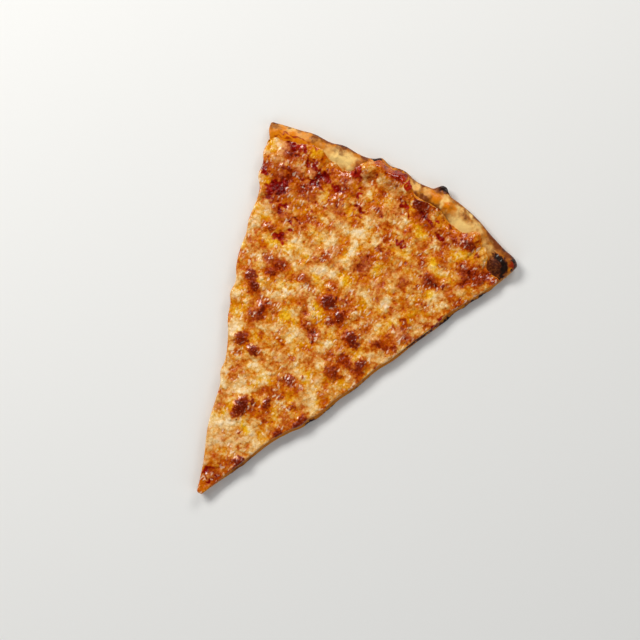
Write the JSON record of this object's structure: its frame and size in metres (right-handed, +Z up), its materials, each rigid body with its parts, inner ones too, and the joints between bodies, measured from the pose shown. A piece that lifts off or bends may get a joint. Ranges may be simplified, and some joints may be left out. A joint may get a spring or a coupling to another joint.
{
  "type": "cheese pizza slice",
  "caption": "Thin cheese pizza slice with a bare browned rim, a sauce layer and a toasted cheese top, lying flat; prepared food.",
  "frame": {"origin": "centre of the slice's box, on the surface that its baked base lies on", "axes": "+Y from the tip to the rim, along the slice; +X to the right seen from above with the rim away; +Z up through the cheese"},
  "size_m": [0.1714, 0.235, 0.0115],
  "materials": {
    "crust": "baked dough, golden with brown and burnt spots",
    "sauce": "oily tomato sauce",
    "cheese": "melted cheese with orange oil and toasted blisters"
  },
  "bodies": {
    "root": {"crust": "crust", "sauce": "sauce", "cheese": "cheese"}
  },
  "joints": []
}
